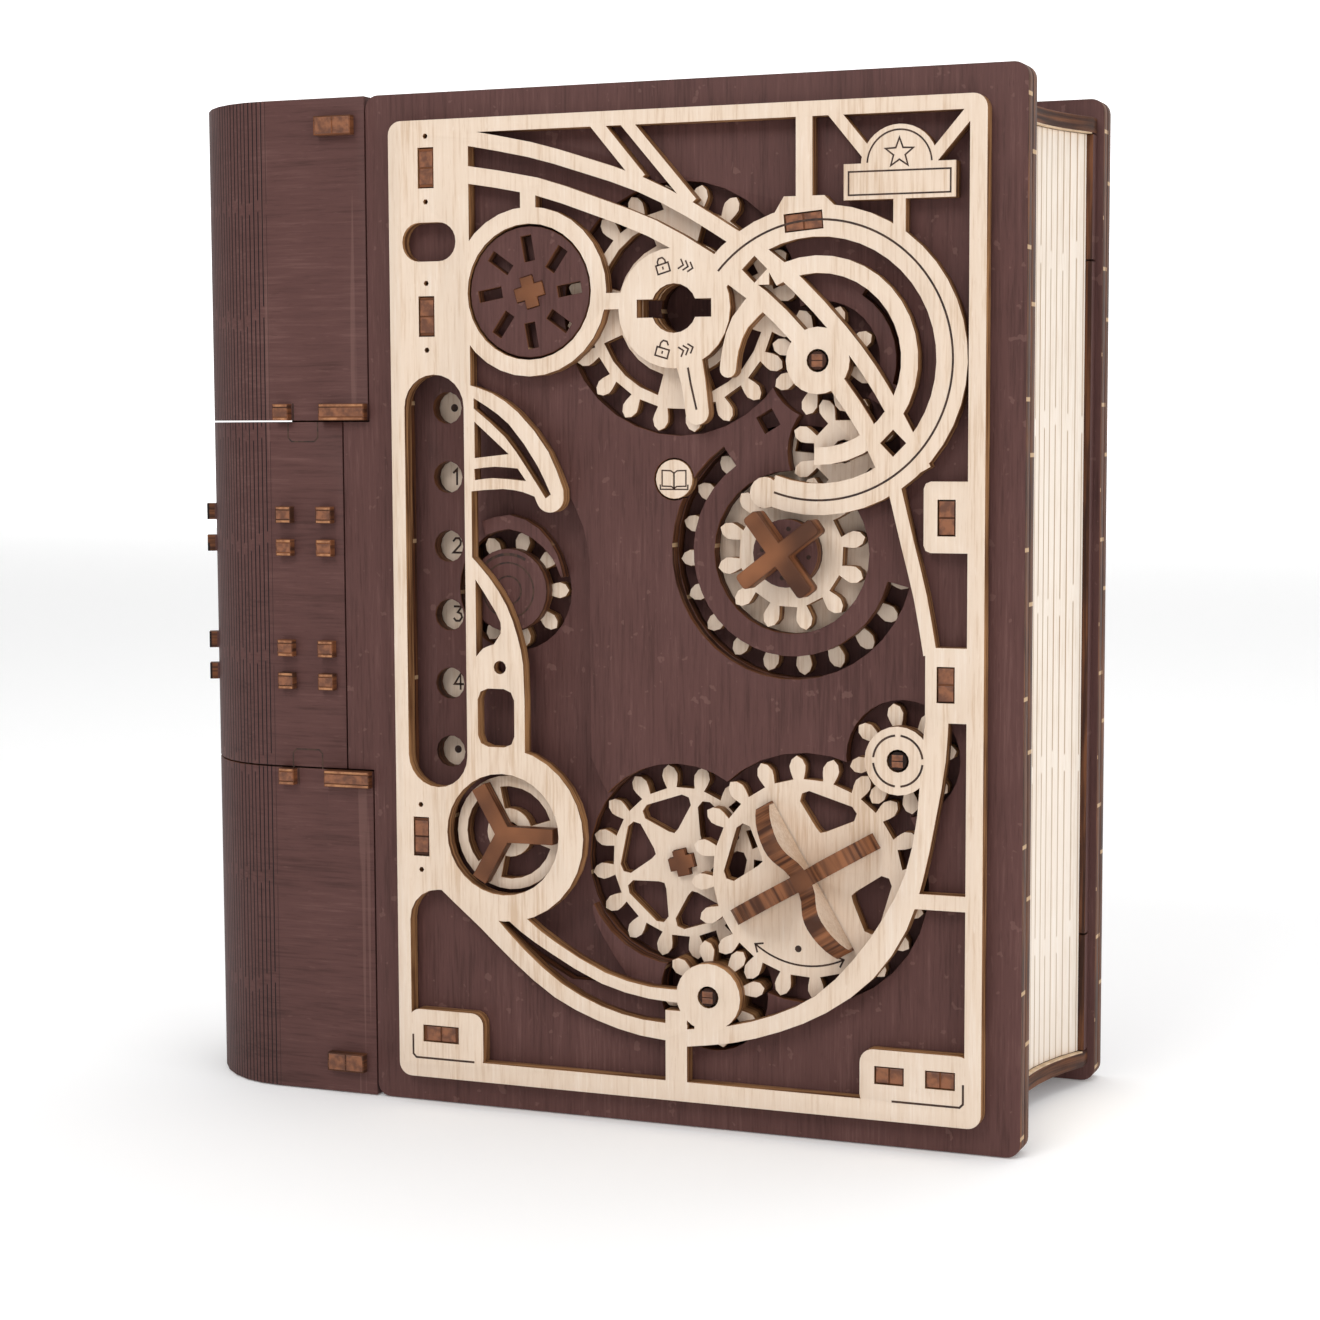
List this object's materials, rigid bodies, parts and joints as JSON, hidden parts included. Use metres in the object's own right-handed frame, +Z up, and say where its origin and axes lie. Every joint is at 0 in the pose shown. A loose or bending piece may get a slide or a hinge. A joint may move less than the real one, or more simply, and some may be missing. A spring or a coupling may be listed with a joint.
{
  "type": "book-shaped puzzle box",
  "caption": "Book-shaped plywood puzzle box with a geared filigree front cover that swings open on a bowed living-hinge spine to a hollow page block.",
  "frame": {"origin": "middle of the foot of the closed book", "axes": "+X from the spine to the fore-edge, front cover faces -Y, +Z up the book's height"},
  "size_m": [0.1648, 0.0698, 0.1812],
  "materials": {
    "birch": "bare laser-cut plywood",
    "dark": "dark stained plywood, open grain",
    "brown": "stained plywood seen on its burnt cut edges"
  },
  "bodies": {
    "book": {"back_cover": "dark", "back_inner": "dark", "cap_top": "dark", "cap_bottom": "dark", "page_edge": "birch", "edge_strip_low": "dark", "edge_strip_mid": "dark", "edge_strip_high": "dark", "spine_wall": "dark", "spine_top": "dark", "spine_mid": "dark", "spine_bottom": "dark", "spine_cap_top": "dark", "spine_cap_bottom": "dark"},
    "door": {"frame": "birch", "cover_plate": "dark", "mid_plate": "dark", "inner_plate": "dark", "door_back": "dark", "crescent": "dark", "icon_disc": "birch"},
    "index": {"index_strip": "birch"},
    "middle": {"mid_gear": "birch", "mid_back_gear": "birch", "mid_disc": "dark", "mid_knob": "brown"},
    "idler": {"idler_pinion": "birch", "idler_pin": "brown"},
    "hub": {"hub_pinion": "birch", "hub_pin": "brown"},
    "key": {"key_gear": "birch"},
    "main": {"main_gear": "birch", "main_handle": "brown"},
    "pinion_a": {"pinion_a": "birch", "pinion_a_pin": "brown"},
    "pinion_b": {"pinion_b": "birch", "pinion_b_pin": "brown"},
    "rear": {"rear_gear": "birch", "rear_pin": "brown"},
    "dial": {"dial_disc": "dark", "dial_pin": "brown"},
    "wheel": {"wheel": "birch", "wheel_bars": "brown"},
    "small": {"small_dial": "dark", "small_dial_gear": "birch"}
  },
  "joints": [
    {"name": "cover_hinge", "type": "hinge", "parent": "book", "child": "door", "pos_m": [-0.0382, -0.0273, 0.0906], "axis": [0, 0, -1], "range_deg": [0, 100]},
    {"name": "middle_turn", "type": "hinge", "parent": "door", "child": "middle", "pos_m": [0.04186, -0.02595, 0.10106], "axis": [0, 1, 0], "range_deg": [-150, 150]},
    {"name": "idler_turn", "type": "hinge", "parent": "door", "child": "idler", "pos_m": [0.05119, -0.02595, 0.11818], "axis": [0, 1, 0], "range_deg": [-225, 225]},
    {"name": "hub_turn", "type": "hinge", "parent": "door", "child": "hub", "pos_m": [0.04755, -0.02595, 0.13335], "axis": [0, 1, 0], "range_deg": [-225, 225]},
    {"name": "key_turn", "type": "hinge", "parent": "door", "child": "key", "pos_m": [0.02183, -0.02595, 0.14251], "axis": [0, 1, 0], "range_deg": [-90, 90]},
    {"name": "main_turn", "type": "hinge", "parent": "door", "child": "main", "pos_m": [0.04473, -0.02595, 0.04528], "axis": [0, 1, 0], "range_deg": [0, 90]},
    {"name": "pinion_a_turn", "type": "hinge", "parent": "door", "child": "pinion_a", "pos_m": [0.06173, -0.02595, 0.06664], "axis": [0, 1, 0], "range_deg": [-225, 0]},
    {"name": "pinion_b_turn", "type": "hinge", "parent": "door", "child": "pinion_b", "pos_m": [0.02773, -0.02595, 0.02391], "axis": [0, 1, 0], "range_deg": [-225, 0]},
    {"name": "rear_turn", "type": "hinge", "parent": "door", "child": "rear", "pos_m": [0.02089, -0.02595, 0.04629], "axis": [0, 1, 0], "range_deg": [0, 112.5]},
    {"name": "dial_turn", "type": "hinge", "parent": "door", "child": "dial", "pos_m": [-0.0052, -0.02595, 0.1458], "axis": [0, 1, 0], "continuous": true},
    {"name": "wheel_turn", "type": "hinge", "parent": "door", "child": "wheel", "pos_m": [-0.0112, -0.02595, 0.05025], "axis": [0, 1, 0], "continuous": true},
    {"name": "small_dial_turn", "type": "hinge", "parent": "door", "child": "small", "pos_m": [-0.011, -0.02595, 0.0936], "axis": [0, 1, 0], "continuous": true},
    {"name": "index_slide", "type": "slide", "parent": "door", "child": "index", "axis": [0, 0, 1], "range_m": [0, 0.006]}
  ],
  "couplings": [
    {"joint": "idler_turn", "follows": "middle_turn", "ratio": -1.5},
    {"joint": "hub_turn", "follows": "middle_turn", "ratio": 1.5},
    {"joint": "key_turn", "follows": "middle_turn", "ratio": -0.6},
    {"joint": "pinion_a_turn", "follows": "main_turn", "ratio": -2.5},
    {"joint": "pinion_b_turn", "follows": "main_turn", "ratio": -2.5},
    {"joint": "rear_turn", "follows": "main_turn", "ratio": 1.25}
  ]
}
